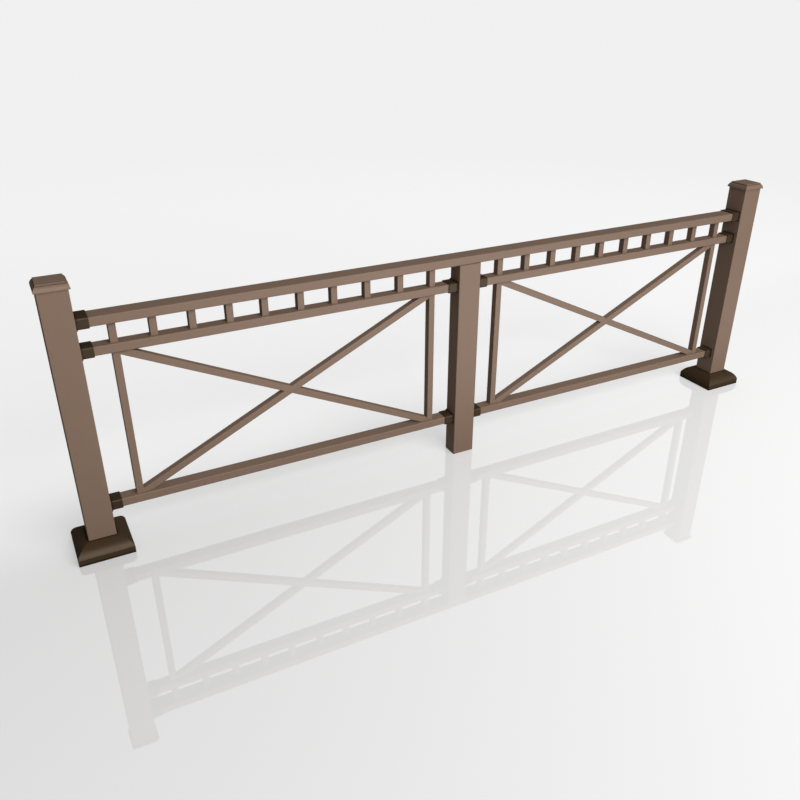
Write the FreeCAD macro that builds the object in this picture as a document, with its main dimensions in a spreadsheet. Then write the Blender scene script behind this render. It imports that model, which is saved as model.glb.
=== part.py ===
import FreeCAD, Part
import math
import os

import Sketcher

# A two-bay deck railing in powder-coated aluminium: hollow posts and rails, sleeve brackets,
# a row of short blocks under the top rail and an X of two bars in each bay.
# X runs along the railing, Y goes from the front to the back and Z is up. The origin is on the
# deck, under the rails' centre line, halfway between the end posts. All sizes are in millimetres.

SIZES = {
    # Layout
    "bay_length": 1566,
    "rail_top": 914,
    "block_height": 75.5,
    "bottom_rail_top": 194,
    "stile_setback": 113,
    "fit_clearance": 0.3,
    # How far each block of a row stands off its even place
    "block_1_shift": 0,
    "block_2_shift": -2,
    "block_3_shift": -4,
    "block_4_shift": -7,
    "block_5_shift": -13,
    "block_6_shift": -11,
    "block_7_shift": -14,
    "block_8_shift": -12,
    "block_9_shift": -6.5,
    "block_10_shift": 0,
    # End posts and middle post
    "post_width": 100,
    "post_rise": 124,
    "post_wall": 3,
    "post_corner": 3,
    "middle_post_width": 100,
    "middle_post_wall": 3,
    "middle_post_forward": 4.2,
    # Rails
    "top_rail_depth": 73,
    "top_rail_height": 34,
    "top_rail_wall": 2.5,
    "top_rail_corner": 3,
    "lower_rail_depth": 53,
    "lower_rail_height": 33.5,
    "lower_rail_wall": 2,
    "lower_rail_corner": 3,
    # Stiles and blocks, cut from one tube, and the bars of the X
    "stile_width": 26,
    "stile_depth": 31,
    "stile_wall": 1.6,
    "stile_bevel": 1,
    "brace_width": 27,
    "brace_depth": 28,
    "brace_wall": 1.6,
    "brace_corner": 1.5,
    # Brackets
    "sleeve_length": 42.5,
    "sleeve_wall": 4,
    "sleeve_bevel": 1,
    "flange_thickness": 4,
    "flange_margin": 1.5,
    # Post caps
    "cap_socket": 14,
    "cap_roof": 11,
    "lip_overhang": 6.5,
    "lip_height": 19.5,
    "lip_inset": 8.5,
    "lip_curve": 27,
    "crown_step": 1.5,
    "crown_rise": 3.5,
    "crown_bevel": 1.5,
    # Base covers
    "cover_width": 203,
    "cover_height": 67,
    "cover_band": 26,
    "cover_curve": 60,
    "cover_wall": 3,
    # Base plates of the end posts and the foot inside the middle post
    "plate_gap": 13.5,
    "plate_thickness": 10,
    "bolt_edge": 20,
    "bolt_hole": 13,
    "foot_thickness": 10,
    "foot_hole_spacing": 50,
    "foot_hole": 9,
}

doc = FreeCAD.newDocument("deck_railing_section")
sheet = doc.addObject("Spreadsheet::Sheet", "sizes")
for row, (name, value) in enumerate(SIZES.items(), start=1):
    sheet.set(f"A{row}", str(value))
    sheet.setAlias(f"A{row}", name)
doc.recompute()

# Places that several pieces share, written as formulas on the sheet.
END_FACE = "(sizes.bay_length - sizes.post_width / 2)"
MIDDLE_FACE = "(sizes.middle_post_width / 2)"
POST_TOP = "(sizes.rail_top + sizes.post_rise)"
BAY_CENTRE = f"(({END_FACE} + {MIDDLE_FACE}) / 2)"
RAIL_STOP = "(sizes.flange_thickness + sizes.fit_clearance)"
BAY_RAIL_LENGTH = f"({END_FACE} - {MIDDLE_FACE} - 2 * {RAIL_STOP})"
STILE_SPACING = f"({END_FACE} - {MIDDLE_FACE} - 2 * sizes.stile_setback)"
TOP_RAIL_BOTTOM = "(sizes.rail_top - sizes.top_rail_height)"
UPPER_RAIL_TOP = f"({TOP_RAIL_BOTTOM} - sizes.block_height)"
UPPER_RAIL_BOTTOM = f"({UPPER_RAIL_TOP} - sizes.lower_rail_height)"
OPENING_WIDTH = f"({STILE_SPACING} - sizes.stile_width)"
OPENING_HEIGHT = f"({UPPER_RAIL_BOTTOM} - sizes.bottom_rail_top)"
BRACE_SLOPE = f"atan({OPENING_HEIGHT} / {OPENING_WIDTH})"

BAYS = {"left_bay": "-1", "right_bay": "1"}
ENDS = {"left": "-1", "right": "1"}
BLOCK_COUNT = 10

sub_parts = []


def size(formula):
    return float(sheet.evalExpression(formula))


def keep(part, label):
    part.Label = label
    sub_parts.append(part)


def place(part, x="0", y="0", z="0"):
    part.setExpression("Placement.Base.x", x)
    part.setExpression("Placement.Base.y", y)
    part.setExpression("Placement.Base.z", z)


def new_body(name):
    return doc.addObject("PartDesign::Body", name)


def origin_feature(body, role):
    return next(item for item in body.Origin.OriginFeatures if item.Role == role)


def new_sketch(body, role):
    sketch = body.newObject("Sketcher::SketchObject", "sketch")
    sketch.AttachmentSupport = [(origin_feature(body, role), "")]
    sketch.MapMode = "FlatFace"
    return sketch


def bind(sketch, constraint, formula):
    index = sketch.addConstraint(constraint)
    sketch.setExpression(f"Constraints[{index}]", formula)


def draw_rectangle(sketch, width, height, corner=None):
    """Draw a rectangle centred on the sketch's origin, with rounded corners if a radius is given."""
    half_w = size(width) / 2
    half_h = size(height) / 2
    radius = size(corner) if corner else 0
    up = FreeCAD.Vector(0, 0, 1)
    point = FreeCAD.Vector
    sides = [
        (point(-half_w + radius, -half_h, 0), point(half_w - radius, -half_h, 0)),
        (point(half_w, -half_h + radius, 0), point(half_w, half_h - radius, 0)),
        (point(half_w - radius, half_h, 0), point(-half_w + radius, half_h, 0)),
        (point(-half_w, half_h - radius, 0), point(-half_w, -half_h + radius, 0)),
    ]
    lines = [sketch.addGeometry(Part.LineSegment(*side)) for side in sides]
    bottom, right, top, left = lines
    for line in (bottom, top):
        sketch.addConstraint(Sketcher.Constraint("Horizontal", line))
    for line in (right, left):
        sketch.addConstraint(Sketcher.Constraint("Vertical", line))
    if corner:
        arcs = []
        centres = [(1, -1), (1, 1), (-1, 1), (-1, -1)]
        for turn, (side_x, side_y) in enumerate(centres):
            centre = point(side_x * (half_w - radius), side_y * (half_h - radius), 0)
            start = (turn - 1) * math.pi / 2
            arc = Part.ArcOfCircle(Part.Circle(centre, up, radius), start, start + math.pi / 2)
            arcs.append(sketch.addGeometry(arc))
        for turn, arc in enumerate(arcs):
            following = lines[(turn + 1) % 4]
            sketch.addConstraint(Sketcher.Constraint("Tangent", lines[turn], 2, arc, 1))
            sketch.addConstraint(Sketcher.Constraint("Tangent", arc, 2, following, 1))
        for arc in arcs[1:]:
            sketch.addConstraint(Sketcher.Constraint("Equal", arcs[0], arc))
        bind(sketch, Sketcher.Constraint("Radius", arcs[0], radius), corner)
    else:
        for turn in range(4):
            following = lines[(turn + 1) % 4]
            sketch.addConstraint(Sketcher.Constraint("Coincident", lines[turn], 2, following, 1))
    bind(sketch, Sketcher.Constraint("DistanceX", -1, 1, right, 1, half_w), f"{width} / 2")
    bind(sketch, Sketcher.Constraint("DistanceX", left, 1, -1, 1, half_w), f"{width} / 2")
    bind(sketch, Sketcher.Constraint("DistanceY", -1, 1, top, 1, half_h), f"{height} / 2")
    bind(sketch, Sketcher.Constraint("DistanceY", bottom, 1, -1, 1, half_h), f"{height} / 2")


def pad(body, sketch, length, both_ways=False):
    feature = body.newObject("PartDesign::Pad", "pad")
    feature.Profile = sketch
    feature.setExpression("Length", length)
    if both_ways:
        feature.SideType = "Symmetric"
    return feature


def bevel_edges(body, feature, chosen, amount):
    """Bevel the edges of a feature that are chosen by their bounding boxes."""
    names = [f"Edge{index}" for index, edge in enumerate(feature.Shape.Edges, start=1)
             if chosen(edge.BoundBox)]
    bevel = body.newObject("PartDesign::Chamfer", "bevel")
    bevel.Base = (feature, names)
    bevel.setExpression("Size", amount)
    return bevel


def draw_tube(name, role, width, height, corner, wall, length, both_ways=False):
    """Extrude a box section with an even wall, with rounded corners if a radius is given."""
    body = new_body(name)
    sketch = new_sketch(body, role)
    draw_rectangle(sketch, width, height, corner)
    draw_rectangle(sketch, f"({width} - 2 * {wall})", f"({height} - 2 * {wall})")
    pad(body, sketch, length, both_ways)
    return body


def draw_flank(sketch, flank):
    """Draw a closed outline, the same on both sides of the upright axis.

    The flank lists its corners from the bottom up, as formulas for the distance from the axis, the
    height, and the radius of the arc that leads to the corner, or None where the run is straight.
    """
    corners = [(size(x), size(z), size(bulge) if bulge else None) for x, z, bulge in flank]
    right_runs = []
    left_runs = []
    for (x0, z0, _), (x1, z1, bulge) in zip(corners, corners[1:]):
        for side, runs in ((1, right_runs), (-1, left_runs)):
            start = FreeCAD.Vector(side * x0, z0, 0)
            end = FreeCAD.Vector(side * x1, z1, 0)
            edge = Part.LineSegment(start, end)
            if bulge:
                chord = end - start
                outward = FreeCAD.Vector(side * chord.y, -side * chord.x, 0).normalize()
                sagitta = bulge - (bulge ** 2 - (chord.Length / 2) ** 2) ** 0.5
                edge = Part.Arc(start, (start + end) / 2 + outward * sagitta, end)
            runs.append(sketch.addGeometry(edge))

    def level(x, z):
        left_end = FreeCAD.Vector(-x, z, 0)
        right_end = FreeCAD.Vector(x, z, 0)
        return sketch.addGeometry(Part.LineSegment(left_end, right_end))

    base = level(*corners[0][:2])
    crown = level(*corners[-1][:2])

    def ends(side, bulge):
        # An arc is stored anticlockwise, so on the left its first point is the upper one.
        return (2, 1) if bulge and side < 0 else (1, 2)

    for side, runs, base_end in ((1, right_runs, 2), (-1, left_runs, 1)):
        held = (base, base_end)
        for run, (_, _, bulge) in zip(runs, corners[1:]):
            low, high = ends(side, bulge)
            sketch.addConstraint(Sketcher.Constraint("Coincident", *held, run, low))
            held = (run, high)
        sketch.addConstraint(Sketcher.Constraint("Coincident", *held, crown, base_end))
    sketch.addConstraint(Sketcher.Constraint("PointOnObject", base, 2, -1))
    sketch.addConstraint(Sketcher.Constraint("Symmetric", base, 1, base, 2, -2))
    bind(sketch, Sketcher.Constraint("DistanceX", -1, 1, base, 2, corners[0][0]), flank[0][0])
    for index, (right, left) in enumerate(zip(right_runs, left_runs), start=1):
        x, z, bulge = corners[index]
        right_high = ends(1, bulge)[1]
        left_high = ends(-1, bulge)[1]
        bind(sketch, Sketcher.Constraint("DistanceX", -1, 1, right, right_high, x), flank[index][0])
        bind(sketch, Sketcher.Constraint("DistanceY", -1, 1, right, right_high, z), flank[index][1])
        sketch.addConstraint(Sketcher.Constraint("Symmetric", left, left_high, right, right_high, -2))
        if bulge:
            bind(sketch, Sketcher.Constraint("Radius", right, bulge), flank[index][2])
            sketch.addConstraint(Sketcher.Constraint("Equal", right, left))


def mitred_block(name, flank, width):
    """Make a square block whose four sides have the same flank and meet in mitres."""
    across = []
    for direction, role in (("front", "XZ_Plane"), ("side", "YZ_Plane")):
        body = new_body(f"{name}_{direction}")
        sketch = new_sketch(body, role)
        draw_flank(sketch, flank)
        pad(body, sketch, width, both_ways=True)
        across.append(body)
    block = doc.addObject("Part::Common", name)
    block.Base, block.Tool = across
    return block


def square_prism(name, width, height, bottom="0"):
    prism = doc.addObject("Part::Box", name)
    prism.setExpression("Length", width)
    prism.setExpression("Width", width)
    prism.setExpression("Height", height)
    place(prism, f"-({width}) / 2", f"-({width}) / 2", bottom)
    return prism


def cut(name, base, tool):
    result = doc.addObject("Part::Cut", name)
    result.Base = base
    result.Tool = tool
    return result


# End posts: square tubes that stand on their base plates.
def end_post(label, side):
    post = draw_tube(label, "XY_Plane", "sizes.post_width", "sizes.post_width", "sizes.post_corner",
                     "sizes.post_wall", f"({POST_TOP} - sizes.plate_thickness)")
    place(post, x=f"{side} * sizes.bay_length", z="sizes.plate_thickness")
    keep(post, label)


# Post caps: a tall lip that curves inwards, a step that draws a shadow line, and a flat crown with a
# bevelled edge. A socket underneath goes over the top of the post.
def post_cap(label, side):
    lip = "sizes.post_width / 2 + sizes.lip_overhang"
    crown = f"{lip} - sizes.lip_inset - sizes.crown_step"
    flank = [
        (lip, "0", None),
        (f"{lip} - sizes.lip_inset", "sizes.lip_height", "sizes.lip_curve"),
        (crown, "sizes.lip_height", None),
        (crown, "sizes.lip_height + sizes.crown_rise", None),
        (f"{crown} - sizes.crown_bevel", "sizes.cap_socket + sizes.cap_roof", None),
    ]
    block = mitred_block(f"{label}_block", flank, f"2 * ({lip})")
    socket = square_prism(f"{label}_socket", "(sizes.post_width + 2 * sizes.fit_clearance)",
                          "2 * sizes.cap_socket", bottom="-sizes.cap_socket")
    cap = cut(label, block, socket)
    place(cap, x=f"{side} * sizes.bay_length", z=f"{POST_TOP} - sizes.cap_socket")
    keep(cap, label)


# Base covers: thin shells that slide down the post over the plate and its bolts, with an upright
# band at the deck and a convex slope up to the post.
def base_cover(label, side):
    collar = "sizes.post_width / 2 + sizes.fit_clearance"
    outer_flank = [
        ("sizes.cover_width / 2", "0", None),
        ("sizes.cover_width / 2", "sizes.cover_band", None),
        (collar, "sizes.cover_height", "sizes.cover_curve"),
    ]
    inner_flank = [
        ("sizes.cover_width / 2 - sizes.cover_wall", "0", None),
        ("sizes.cover_width / 2 - sizes.cover_wall", "sizes.cover_band", None),
        (collar, "sizes.cover_height - sizes.cover_wall", "sizes.cover_curve - sizes.cover_wall"),
    ]
    outside = mitred_block(f"{label}_outside", outer_flank, "sizes.cover_width")
    inside = mitred_block(f"{label}_inside", inner_flank, "(sizes.cover_width - 2 * sizes.cover_wall)")
    shell = cut(f"{label}_shell", outside, inside)
    opening = square_prism(f"{label}_opening", f"(2 * ({collar}))", "2 * sizes.cover_height")
    cover = cut(label, shell, opening)
    place(cover, x=f"{side} * sizes.bay_length")
    keep(cover, label)


# Base plates: welded under the end posts, with a bolt hole near each corner.
def base_plate(label, side):
    width = "(sizes.cover_width - 2 * (sizes.cover_wall + sizes.plate_gap))"
    spacing = f"({width} - 2 * sizes.bolt_edge)"
    body = new_body(label)
    sketch = new_sketch(body, "XY_Plane")
    draw_rectangle(sketch, width, width)
    draw_holes(sketch, spacing, spacing, "sizes.bolt_hole")
    pad(body, sketch, "sizes.plate_thickness")
    place(body, x=f"{side} * sizes.bay_length")
    keep(body, label)


def draw_holes(sketch, spacing_x, spacing_y, diameter):
    """Draw round holes at the corners of a rectangle, or in a row where spacing_y is None."""
    up = FreeCAD.Vector(0, 0, 1)
    sides_y = (-1, 1) if spacing_y else (0,)
    for side_x in (-1, 1):
        for side_y in sides_y:
            place_x = f"{side_x} * {spacing_x} / 2"
            place_y = f"{side_y} * {spacing_y} / 2" if spacing_y else "0"
            x, y = size(place_x), size(place_y)
            circle = Part.Circle(FreeCAD.Vector(x, y, 0), up, size(diameter) / 2)
            hole = sketch.addGeometry(circle)
            bind(sketch, Sketcher.Constraint("Diameter", hole, size(diameter)), diameter)
            bind(sketch, Sketcher.Constraint("DistanceX", -1, 1, hole, 3, x), place_x)
            if spacing_y:
                bind(sketch, Sketcher.Constraint("DistanceY", -1, 1, hole, 3, y), place_y)
            else:
                sketch.addConstraint(Sketcher.Constraint("PointOnObject", hole, 3, -1))


# Middle post: a tube as deep as the top rail, which lies on the lid that closes it, with a screwed
# foot in its lower end. It stands a little in front of the rails.
def middle_post():
    post = draw_tube("middle_post", "XY_Plane", "sizes.middle_post_width", "sizes.top_rail_depth",
                     "sizes.post_corner", "sizes.middle_post_wall", TOP_RAIL_BOTTOM)
    lid = new_sketch(post, "XY_Plane")
    lid.setExpression("AttachmentOffset.Base.z", f"{TOP_RAIL_BOTTOM} - sizes.middle_post_wall")
    walls = "2 * sizes.middle_post_wall"
    draw_rectangle(lid, f"(sizes.middle_post_width - {walls})", f"(sizes.top_rail_depth - {walls})")
    pad(post, lid, "sizes.middle_post_wall")
    place(post, y="-sizes.middle_post_forward")
    keep(post, "middle_post")
    foot = new_body("middle_post_foot")
    sketch = new_sketch(foot, "XY_Plane")
    shrink = "2 * (sizes.middle_post_wall + sizes.fit_clearance)"
    draw_rectangle(sketch, f"(sizes.middle_post_width - {shrink})", f"(sizes.top_rail_depth - {shrink})")
    draw_holes(sketch, "sizes.foot_hole_spacing", None, "sizes.foot_hole")
    pad(foot, sketch, "sizes.foot_thickness")
    place(foot, y="-sizes.middle_post_forward")
    keep(foot, "middle_post_foot")


# Rails: the top rail runs over both bays, and each bay has an upper and a bottom rail. Every rail
# ends just short of the flange of its bracket.
def rails():
    length = f"2 * ({END_FACE} - {RAIL_STOP})"
    rail = draw_tube("top_rail", "YZ_Plane", "sizes.top_rail_depth", "sizes.top_rail_height",
                     "sizes.top_rail_corner", "sizes.top_rail_wall", length, True)
    place(rail, z="sizes.rail_top - sizes.top_rail_height / 2")
    keep(rail, "top_rail")
    for bay, side in BAYS.items():
        for level, top in (("upper", UPPER_RAIL_TOP), ("bottom", "sizes.bottom_rail_top")):
            label = f"{bay}_{level}_rail"
            rail = draw_tube(label, "YZ_Plane", "sizes.lower_rail_depth", "sizes.lower_rail_height",
                             "sizes.lower_rail_corner", "sizes.lower_rail_wall", BAY_RAIL_LENGTH, True)
            place(rail, x=f"{side} * {BAY_CENTRE}", z=f"{top} - sizes.lower_rail_height / 2")
            keep(rail, label)


# Brackets: a sleeve round the end of a rail on a flange that is screwed to the post.
def bracket(label, rail, post_face, top, faces_left):
    depth = f"sizes.{rail}_depth"
    height = f"sizes.{rail}_height"
    corner = f"sizes.{rail}_corner"
    body = new_body(label)

    def section(grow, rounding=None):
        sketch = new_sketch(body, "YZ_Plane")
        draw_rectangle(sketch, f"({depth} + 2 * ({grow}))", f"({height} + 2 * ({grow}))", rounding)
        return sketch

    sleeve = "sizes.fit_clearance + sizes.sleeve_wall"
    pad(body, section(f"{sleeve} + sizes.flange_margin"), "sizes.flange_thickness")
    mouth = pad(body, section(sleeve, f"({corner} + {sleeve})"), "sizes.sleeve_length")
    doc.recompute()
    rim = size("sizes.sleeve_length - sizes.sleeve_bevel")
    bevel_edges(body, mouth, lambda box: box.XMin > rim, "sizes.sleeve_bevel")
    socket = body.newObject("PartDesign::Pocket", "socket")
    socket.Profile = section("sizes.fit_clearance")
    socket.Profile[0].setExpression("AttachmentOffset.Base.z", "sizes.flange_thickness")
    socket.Reversed = True
    socket.Type = "ThroughAll"
    if faces_left:
        body.Placement.Rotation = FreeCAD.Rotation(FreeCAD.Vector(0, 0, 1), 180)
    place(body, x=post_face, z=f"{top} - {height} / 2")
    keep(body, label)


def brackets():
    bracket("left_top_rail_bracket", "top_rail", f"-{END_FACE}", "sizes.rail_top", False)
    bracket("right_top_rail_bracket", "top_rail", END_FACE, "sizes.rail_top", True)
    for level, top in (("upper", UPPER_RAIL_TOP), ("bottom", "sizes.bottom_rail_top")):
        bracket(f"left_bay_{level}_left_bracket", "lower_rail", f"-{END_FACE}", top, False)
        bracket(f"left_bay_{level}_right_bracket", "lower_rail", f"-{MIDDLE_FACE}", top, True)
        bracket(f"right_bay_{level}_left_bracket", "lower_rail", MIDDLE_FACE, top, False)
        bracket(f"right_bay_{level}_right_bracket", "lower_rail", END_FACE, top, True)


# Stiles: the uprights at each end of a bay's opening, in a small box tube with bevelled edges.
def stile_tube(label, length):
    tube = draw_tube(label, "XY_Plane", "sizes.stile_width", "sizes.stile_depth", None,
                     "sizes.stile_wall", length)
    doc.recompute()
    wall = size("sizes.stile_wall")
    mid_wall = size("(sizes.stile_width - sizes.stile_wall) / 2")

    def outer_upright(box):
        return box.ZLength > wall and abs(box.Center.x) > mid_wall

    bevel_edges(tube, tube.Tip, outer_upright, "sizes.stile_bevel")
    return tube


def stiles(bay, bay_side):
    for end, end_side in ENDS.items():
        label = f"{bay}_{end}_stile"
        stile = stile_tube(label, OPENING_HEIGHT)
        place(stile, x=f"{bay_side} * {BAY_CENTRE} + {end_side} * {STILE_SPACING} / 2",
              z="sizes.bottom_rail_top")
        keep(stile, label)


# Blocks: short lengths of the stile tube between the top rail and the upper rail, the first and the
# last in line with the stiles. The others are set by hand, each a little off its even place.
def blocks(bay, bay_side):
    label = f"{bay}_blocks"
    first = f"({bay_side} * {BAY_CENTRE} - {STILE_SPACING} / 2)"
    pitch = f"({STILE_SPACING} / {BLOCK_COUNT - 1})"
    row = []
    for number in range(1, BLOCK_COUNT + 1):
        block = stile_tube(f"{label}_{number}", "sizes.block_height")
        place(block, x=f"{first} + {number - 1} * {pitch} + sizes.block_{number}_shift", z=UPPER_RAIL_TOP)
        row.append(block)
    together = doc.addObject("Part::Compound", label)
    together.Links = row
    keep(together, label)


# Braces: box bars from corner to corner of the opening, mitred into the corners. The rising bar
# runs through, and the falling bar is two halves that butt on it in the same plane.
def braces(bay, bay_side):
    middle_x = f"{bay_side} * {BAY_CENTRE}"
    middle_z = f"sizes.bottom_rail_top + {OPENING_HEIGHT} / 2"
    reach = f"({OPENING_WIDTH} + {OPENING_HEIGHT})"

    def lean(part, axis_y):
        part.Placement.Rotation = FreeCAD.Rotation(FreeCAD.Vector(0, axis_y, 0), 1)
        part.setExpression("Placement.Rotation.Angle", BRACE_SLOPE)
        place(part, x=middle_x, z=middle_z)

    def opening(name):
        box = doc.addObject("Part::Box", name)
        box.setExpression("Length", OPENING_WIDTH)
        box.setExpression("Width", "2 * sizes.brace_depth")
        box.setExpression("Height", OPENING_HEIGHT)
        place(box, x=f"{middle_x} - {OPENING_WIDTH} / 2", y="-sizes.brace_depth", z="sizes.bottom_rail_top")
        return box

    def bar(direction, axis_y):
        tube = draw_tube(f"{bay}_{direction}_tube", "YZ_Plane", "sizes.brace_depth", "sizes.brace_width",
                         "sizes.brace_corner", "sizes.brace_wall", reach, True)
        lean(tube, axis_y)
        trimmed = doc.addObject("Part::Common", f"{bay}_{direction}_trimmed")
        trimmed.Base = tube
        trimmed.Tool = opening(f"{bay}_{direction}_opening")
        return trimmed

    rising = bar("rising", -1)
    keep(rising, f"{bay}_rising_brace")
    path = new_body(f"{bay}_rising_path")
    sketch = new_sketch(path, "YZ_Plane")
    draw_rectangle(sketch, "(2 * sizes.brace_depth)", "sizes.brace_width")
    pad(path, sketch, reach, True)
    lean(path, -1)
    falling = cut(f"{bay}_falling_halves", bar("falling", 1), path)
    keep(falling, f"{bay}_falling_brace")


for end, side in ENDS.items():
    end_post(f"{end}_post", side)
    post_cap(f"{end}_post_cap", side)
    base_plate(f"{end}_base_plate", side)
    base_cover(f"{end}_base_cover", side)
middle_post()
rails()
brackets()
for bay, bay_side in BAYS.items():
    stiles(bay, bay_side)
    blocks(bay, bay_side)
    braces(bay, bay_side)
doc.recompute()

for item in doc.Objects:
    if {"Invalid", "Error"} & set(item.State):
        raise RuntimeError(f"{item.Label} failed: {item.State}")
for part in sub_parts:
    if part.Shape.isNull() or not part.Shape.isValid():
        raise RuntimeError(f"{part.Label} has no valid shape")

os.makedirs("parts", exist_ok=True)
for part in sub_parts:
    part.Shape.exportStep(f"parts/{part.Label}.step")
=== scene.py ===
import bmesh
import bpy
from mathutils import Matrix, Vector

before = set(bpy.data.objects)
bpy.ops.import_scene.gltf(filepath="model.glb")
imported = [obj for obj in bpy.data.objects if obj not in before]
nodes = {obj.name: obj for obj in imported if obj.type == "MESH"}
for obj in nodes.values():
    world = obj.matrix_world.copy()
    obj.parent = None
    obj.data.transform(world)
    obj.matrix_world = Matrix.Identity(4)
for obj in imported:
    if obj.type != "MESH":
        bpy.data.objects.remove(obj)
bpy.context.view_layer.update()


# Base plates and the middle post's foot. Flat aluminium plates, sawn and drilled for the deck bolts and
# left bare: the posts are welded to the plates, and the foot is pressed into the middle tube.
class Socket:
    """An output of a shader node. Arithmetic on it adds Math nodes to the same tree."""

    def __init__(self, tree, output=None):
        self.tree = tree
        self.output = output

    def node(self, kind, settings=None, inputs=None, output=0):
        """Add a node, with its settings first and then the values or links of its inputs."""
        node = self.tree.nodes.new(kind)
        for name, value in (settings or {}).items():
            setattr(node, name, value)
        for name, value in (inputs or {}).items():
            if isinstance(value, Socket):
                self.tree.links.new(value.output, node.inputs[name])
            else:
                node.inputs[name].default_value = value
        return Socket(self.tree, node.outputs[output])

    def other(self, output):
        return Socket(self.tree, self.output.node.outputs[output])

    def feed(self, shader, name):
        self.tree.links.new(self.output, shader.inputs[name])

    def math(self, operation, first, second):
        return self.node("ShaderNodeMath", {"operation": operation}, {0: first, 1: second})

    def __add__(self, value):
        return self.math("ADD", self, value)

    def __radd__(self, value):
        return self.math("ADD", value, self)

    def __sub__(self, value):
        return self.math("SUBTRACT", self, value)

    def __rsub__(self, value):
        return self.math("SUBTRACT", value, self)

    def __mul__(self, value):
        return self.math("MULTIPLY", self, value)

    def __rmul__(self, value):
        return self.math("MULTIPLY", value, self)


def new_material(name):
    """A material with its Principled shader, and a socket to start its nodes from."""
    material = bpy.data.materials.new(name)
    material.use_nodes = True
    shader = material.node_tree.nodes["Principled BSDF"]
    return material, shader, Socket(material.node_tree)


def mottle(start, place, scale, detail=2.0, stretch=None):
    """Noise from about -1 to 1 with spots of about 1 / scale metres, drawn out along an axis by stretch."""
    if stretch:
        place = start.node("ShaderNodeVectorMath", {"operation": "MULTIPLY"}, {0: place, 1: stretch})
    noise = start.node("ShaderNodeTexNoise", None, {"Vector": place, "Scale": scale, "Detail": detail})
    return (noise - 0.5) * 2.0


def smooth_step(start, value, low, high):
    """0 up to low, 1 from high on, and a smooth rise from one to the other."""
    limits = {"Value": value, "From Min": low, "From Max": high}
    return start.node("ShaderNodeMapRange", {"interpolation_type": "SMOOTHSTEP"}, limits)


def between(start, share, first, second):
    """A colour from the first, where share is 0, to the second, where it is 1."""
    factor_in, first_in, second_in, colour_out = 0, 6, 7, 2
    inputs = {factor_in: share}
    for place, colour in ((first_in, first), (second_in, second)):
        inputs[place] = colour if isinstance(colour, Socket) else (*colour, 1.0)
    return start.node("ShaderNodeMix", {"data_type": "RGBA"}, inputs, colour_out)


def bump(start, shader, height, depth):
    start.node("ShaderNodeBump", None, {"Height": height, "Distance": depth}).feed(shader, "Normal")


def give_finish(material, *names):
    for name in names:
        nodes[name].data.materials.clear()
        nodes[name].data.materials.append(material)


def mill_aluminium():
    bright, dull = (0.60, 0.60, 0.59), (0.47, 0.47, 0.46)
    streak_scale, rolling, streak_depth = 60.0, (0.6, 14.0, 14.0), 0.00003
    stain_scale = 14.0
    streaks_in_colour, stains_in_colour = 0.25, 0.3
    roughness, streaks_in_roughness, stains_in_roughness = 0.42, 0.06, 0.08
    material, shader, start = new_material("mill_aluminium")
    place = start.node("ShaderNodeTexCoord", output="Object")
    streaks = mottle(start, place, streak_scale, stretch=rolling)
    stains = mottle(start, place, stain_scale, detail=4.0)
    brightness = streaks * streaks_in_colour + stains * stains_in_colour + 0.5
    between(start, brightness, dull, bright).feed(shader, "Base Color")
    (roughness + streaks * streaks_in_roughness + stains * stains_in_roughness).feed(shader, "Roughness")
    bump(start, shader, streaks, streak_depth)
    shader.inputs["Metallic"].default_value = 1.0
    return material


give_finish(mill_aluminium(), "left_base_plate", "right_base_plate", "middle_post_foot")


# End posts. Square aluminium tubes, powder-coated in a taupe brown and baked after the plates are
# welded on. The satin coat has a fine orange peel and is a little burnished along the edges.
RAYS_A_POINT = 6


def along(start, vector, direction):
    """How far a vector reaches in a direction."""
    inputs = {0: vector, 1: direction}
    return start.node("ShaderNodeVectorMath", {"operation": "DOT_PRODUCT"}, inputs, "Value")


def edge_share(start, radius):
    """About 0 on flat faces, rising to 1 along outer edges that are closer than radius."""
    edge_from, edge_full = 0.02, 0.25
    rounded = start.node("ShaderNodeBevel", {"samples": RAYS_A_POINT}, {"Radius": radius}, "Normal")
    flat = start.node("ShaderNodeNewGeometry", output="Normal")
    return smooth_step(start, 1.0 - along(start, rounded, flat), edge_from, edge_full)


def corner_shade_share(start, reach):
    """How much painted shade a corner gets: 0 on open faces, rising to 1 where another piece stands closer
    than reach.
    """
    corner_below, open_from = 0.72, 1.0
    openness = start.node("ShaderNodeAmbientOcclusion", {"samples": RAYS_A_POINT}, {"Distance": reach}, "AO")
    return 1.0 - smooth_step(start, openness, corner_below, open_from)


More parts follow.
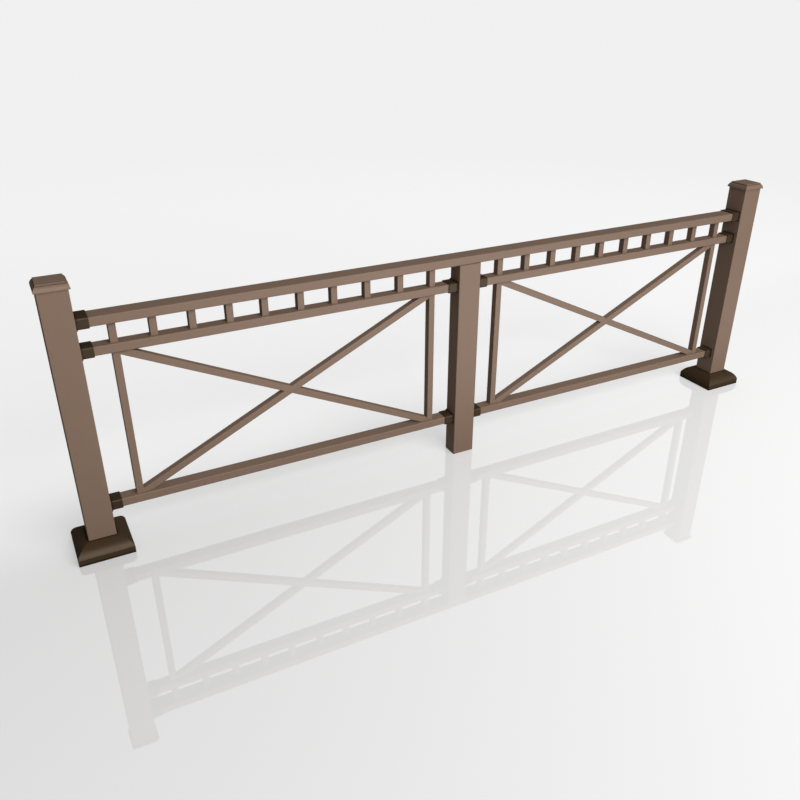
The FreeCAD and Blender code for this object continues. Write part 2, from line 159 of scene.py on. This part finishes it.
def powder_coat(name, deep, light, burnished, roughness, sheen, tint, painted_shade=0.0):
    """A baked coat between two close colours, rubbed along the edges; its last argument paints shade into
    its corners.
    """
    peel_scale, grit_scale, drift_scale, scuff_scale = 480.0, 2100.0, 1.9, 70.0
    peel_depth, grit_in_peel = 0.00006, 0.35
    edge_width, scuff_from, scuff_full = 0.003, -0.5, 0.6
    corner_reach, corner_shade_colour = 0.012, (0.012, 0.008, 0.005)
    drift_in_colour, grit_in_colour, scuffs_in_colour = 0.55, 0.22, 0.5
    drift_in_roughness, grit_in_roughness, scuffs_in_roughness = 0.03, 0.04, -0.08
    material, shader, start = new_material(name)
    place = start.node("ShaderNodeTexCoord", output="Object")
    peel = mottle(start, place, peel_scale, detail=1.0)
    grit = mottle(start, place, grit_scale, detail=1.0)
    drift = mottle(start, place, drift_scale, detail=3.0)
    scuffs = smooth_step(start, mottle(start, place, scuff_scale, detail=4.0), scuff_from, scuff_full)
    scuffed = edge_share(start, edge_width) * scuffs
    body = between(start, 0.5 + drift * drift_in_colour + grit * grit_in_colour, deep, light)
    body = between(start, scuffed * scuffs_in_colour, body, burnished)
    # Painted shade: where another piece closes a corner in, the colour darkens towards a near-black brown.
    if painted_shade:
        body = between(start, corner_shade_share(start, corner_reach) * painted_shade, body, corner_shade_colour)
    body.feed(shader, "Base Color")
    coat_roughness = roughness + drift * drift_in_roughness + grit * grit_in_roughness
    (coat_roughness + scuffed * scuffs_in_roughness).feed(shader, "Roughness")
    bump(start, shader, peel + grit * grit_in_peel, peel_depth)
    shader.inputs["Specular IOR Level"].default_value = sheen
    shader.inputs["Specular Tint"].default_value = (*tint, 1.0)
    return material


TAUPE = {
    "deep": (0.2285, 0.151, 0.107), "light": (0.260, 0.174, 0.124), "burnished": (0.33, 0.248, 0.19),
    "roughness": 0.42, "sheen": 0.45, "tint": (1.0, 1.0, 1.0),
}
taupe_coat = powder_coat("taupe_coat", **TAUPE)
give_finish(taupe_coat, "left_post", "right_post")


# Base covers. Two thin pressed shells that slide down the end posts and hide the plates and their bolts,
# coated in a darker bronze that is a little smoother than the posts. Shade is painted into the coat where
# they meet the posts.
bronze_coat = powder_coat(
    "bronze_coat",
    deep=(0.054, 0.033, 0.016), light=(0.063, 0.039, 0.019), burnished=(0.094, 0.068, 0.042),
    roughness=0.38, sheen=0.40, tint=(1.0, 0.9, 0.8), painted_shade=1.0)
give_finish(bronze_coat, "left_base_cover", "right_base_cover")


# Post caps. Cast aluminium lids with a curved lip, a shadow step and a flat crown, in the posts' own coat.
# Each has a socket underneath and is pushed over the end of its post. Shade is painted into the step.
cap_coat = powder_coat("cap_coat", **TAUPE, painted_shade=0.8)
give_finish(cap_coat, "left_post_cap", "right_post_cap")


# Middle post. A shallower aluminium tube in the same coat, with a lid welded into its upper end. The top
# rail lies on the lid, and the foot in the lower end is screwed to the deck.
give_finish(taupe_coat, "middle_post")


# Brackets. Cast aluminium sleeves on a flange, screwed to the posts, that each hold the end of a rail.
# Their bronze coat is a shade darker and glossier than the covers'.
# Shade is painted into the coat where the brackets meet the posts and the rails.
bracket_coat = powder_coat(
    "bracket_coat",
    deep=(0.049, 0.030, 0.016), light=(0.058, 0.036, 0.019), burnished=(0.09, 0.066, 0.042),
    roughness=0.28, sheen=0.30, tint=(1.0, 0.9, 0.78), painted_shade=0.7)
give_finish(bracket_coat, *[name for name in nodes if name.endswith("bracket")])


# Rails. Hollow aluminium extrusions in the taupe coat, held at their ends by the brackets: the top rail
# over both bays, and an upper and a bottom rail in each bay.
give_finish(taupe_coat, *[name for name in nodes if name.endswith("rail")])


# Infill. Stiles, blocks and the crossed bars of each bay, sawn from small aluminium box tube, welded to
# the rails and coated with them.
infill_ends = ("stile", "blocks", "brace")
give_finish(taupe_coat, *[name for name in nodes if name.endswith(infill_ends)])


# Stage. A pale polished floor that fades into a white surround, with the railing's shadow and a faint
# mirror image of it. The coats are too satin to mirror all that: their gloss shows a dark floor with one
# pool of light in front of the railing.
FLOOR_RADIUS, FLOOR_SIDES, FLOOR_DROP = 16.0, 96, 0.0005
MIDDLE, FADE_FROM, FADE_TO = (0.0, 0.0, 0.0), 3.0, 8.0
FLOOR_SHOWN, FLOOR_BOUNCE, FLOOR_IN_GLOSS = 0.56, 0.46, 0.03
GLOW_LEFT, GLOW_RIGHT, GLOW_BEHIND = 0.265, 0.395, 0.44
RIGHTWARD, RIGHT_FROM, RIGHT_TO = (1.0, 0.35, 0.0), -2.2, 1.6
BACKWARD, BACK_FROM, BACK_TO = (-0.15, 1.0, 0.0), 0.1, 0.85
POOL_PLACE, POOL_RADIUS, POOL_LIGHT = (1.0, -2.5, 0.0), 4.0, 2.3
FORWARD, POOL_FROM, POOL_FULL = (0.0, -1.0, 0.0), 0.0, 0.7
FLOOR_IOR = 2.0


def grey(level):
    return (level, level, level)


def rays(start):
    """1 for what the picture or a mirror shows, and 1 for what only a satin gloss shows."""
    path = start.node("ShaderNodeLightPath", output="Is Camera Ray")
    mirror = path.other("Is Singular Ray")
    picture = start.math("MAXIMUM", path, start.math("MAXIMUM", mirror, path.other("Is Transmission Ray")))
    return picture, path.other("Is Glossy Ray") - mirror


def away(start, place, centre):
    """How far a place lies from a centre."""
    return start.node("ShaderNodeVectorMath", {"operation": "DISTANCE"}, {0: place, 1: centre}, "Value")


def floor_finish():
    material, shader, start = new_material("floor_finish")
    place = start.node("ShaderNodeTexCoord", output="Object")
    picture, satin = rays(start)
    faded = smooth_step(start, away(start, place, MIDDLE), FADE_FROM, FADE_TO)
    (1.0 - faded).feed(shader, "Alpha")
    right = smooth_step(start, along(start, place, RIGHTWARD), RIGHT_FROM, RIGHT_TO)
    behind = smooth_step(start, along(start, place, BACKWARD), BACK_FROM, BACK_TO)
    in_front = between(start, right, grey(GLOW_LEFT), grey(GLOW_RIGHT))
    glow = between(start, behind, in_front, grey(GLOW_BEHIND))
    shown = between(start, picture, grey(0.0), glow)
    forward = smooth_step(start, along(start, place, FORWARD), POOL_FROM, POOL_FULL)
    pool = (1.0 - smooth_step(start, away(start, place, POOL_PLACE), 0.0, POOL_RADIUS)) * forward
    between(start, satin * pool, shown, grey(POOL_LIGHT)).feed(shader, "Emission Color")
    bounce = between(start, satin, grey(FLOOR_BOUNCE), grey(FLOOR_IN_GLOSS))
    between(start, picture, bounce, grey(FLOOR_SHOWN)).feed(shader, "Base Color")
    (1.0 - picture).feed(shader, "Roughness")
    shader.inputs["Emission Strength"].default_value = 1.0
    shader.inputs["IOR"].default_value = FLOOR_IOR
    return material


def lay_floor():
    disc = bmesh.new()
    bmesh.ops.create_circle(disc, cap_ends=True, radius=FLOOR_RADIUS, segments=FLOOR_SIDES)
    bmesh.ops.translate(disc, verts=disc.verts, vec=(0.0, 0.0, -FLOOR_DROP))
    mesh = bpy.data.meshes.new("floor")
    disc.to_mesh(mesh)
    disc.free()
    mesh.materials.append(floor_finish())
    floor = bpy.data.objects.new("floor", mesh)
    bpy.context.collection.objects.link(floor)


lay_floor()


# Light. One large soft key in front, right of the camera, and a dim surround, brighter overhead and behind
# on the right. The picture and the floor's mirror show plain white in place of both, and satin gloss shows
# a round glow low in front.
WHITE = 0.875
UPWARD, HORIZON, ZENITH = (0.0, 0.0, 1.0), 0.10, 0.385
BACK_SIDE, BACK_RIM, BACK_LIGHT = (0.7, 0.714, 0.0), 0.2, 0.8
GLOSS_SIDE, GLOSS_RIM, GLOSS_LIGHT, SURROUND_IN_GLOSS = (0.165, -0.937, 0.309), 0.80, 3.2, 0.02
KEY_PLACE, KEY_AIM = (1.2, -5.4, 4.1), (0.0, 0.0, 0.5)
KEY_SIZE, KEY_POWER = (6.0, 2.6), 362.0


def light_surround():
    world = bpy.data.worlds.new("surround")
    world.use_nodes = True
    bpy.context.scene.world = world
    start = Socket(world.node_tree)
    picture, satin = rays(start)
    direction = start.node("ShaderNodeTexCoord", output="Generated")
    overhead = smooth_step(start, along(start, direction, UPWARD), 0.0, 1.0)
    behind = smooth_step(start, along(start, direction, BACK_SIDE), BACK_RIM, 1.0)
    around = between(start, behind, grey(HORIZON), grey(BACK_LIGHT))
    sky = between(start, overhead, around, grey(ZENITH))
    glow = smooth_step(start, along(start, direction, GLOSS_SIDE), GLOSS_RIM, 1.0)
    gloss = between(start, glow, grey(SURROUND_IN_GLOSS), grey(GLOSS_LIGHT))
    light = between(start, satin, sky, gloss)
    between(start, picture, light, grey(WHITE)).feed(world.node_tree.nodes["Background"], "Color")


def aimed(place, target):
    """The matrix of a thing that stands at place and looks at target."""
    turn = (Vector(target) - Vector(place)).to_track_quat("-Z", "Y")
    return Matrix.LocRotScale(Vector(place), turn, None)


def hang_key():
    lamp = bpy.data.lights.new("key", "AREA")
    lamp.shape = "RECTANGLE"
    lamp.size, lamp.size_y = KEY_SIZE
    lamp.energy = KEY_POWER
    key = bpy.data.objects.new("key", lamp)
    key.matrix_world = aimed(KEY_PLACE, KEY_AIM)
    key.visible_camera = False
    key.visible_glossy = False
    bpy.context.collection.objects.link(key)


light_surround()
hang_key()


# Camera. It stands in front of the left end post, well above the caps, and looks down along both bays.
# Its lens is about as long as its sensor is wide.
CAMERA_PLACE, CAMERA_AIM = (-1.69897, -2.69385, 1.87658), (-0.30070, 0.00185, 0.31546)
LENS, SENSOR = 36.094, 36.0

camera = bpy.data.cameras.new("camera")
camera.lens = LENS
camera.sensor_width = SENSOR
view = bpy.data.objects.new("camera", camera)
view.matrix_world = aimed(CAMERA_PLACE, CAMERA_AIM)
bpy.context.collection.objects.link(view)
bpy.context.scene.camera = view
bpy.context.scene.view_settings.view_transform = "Standard"
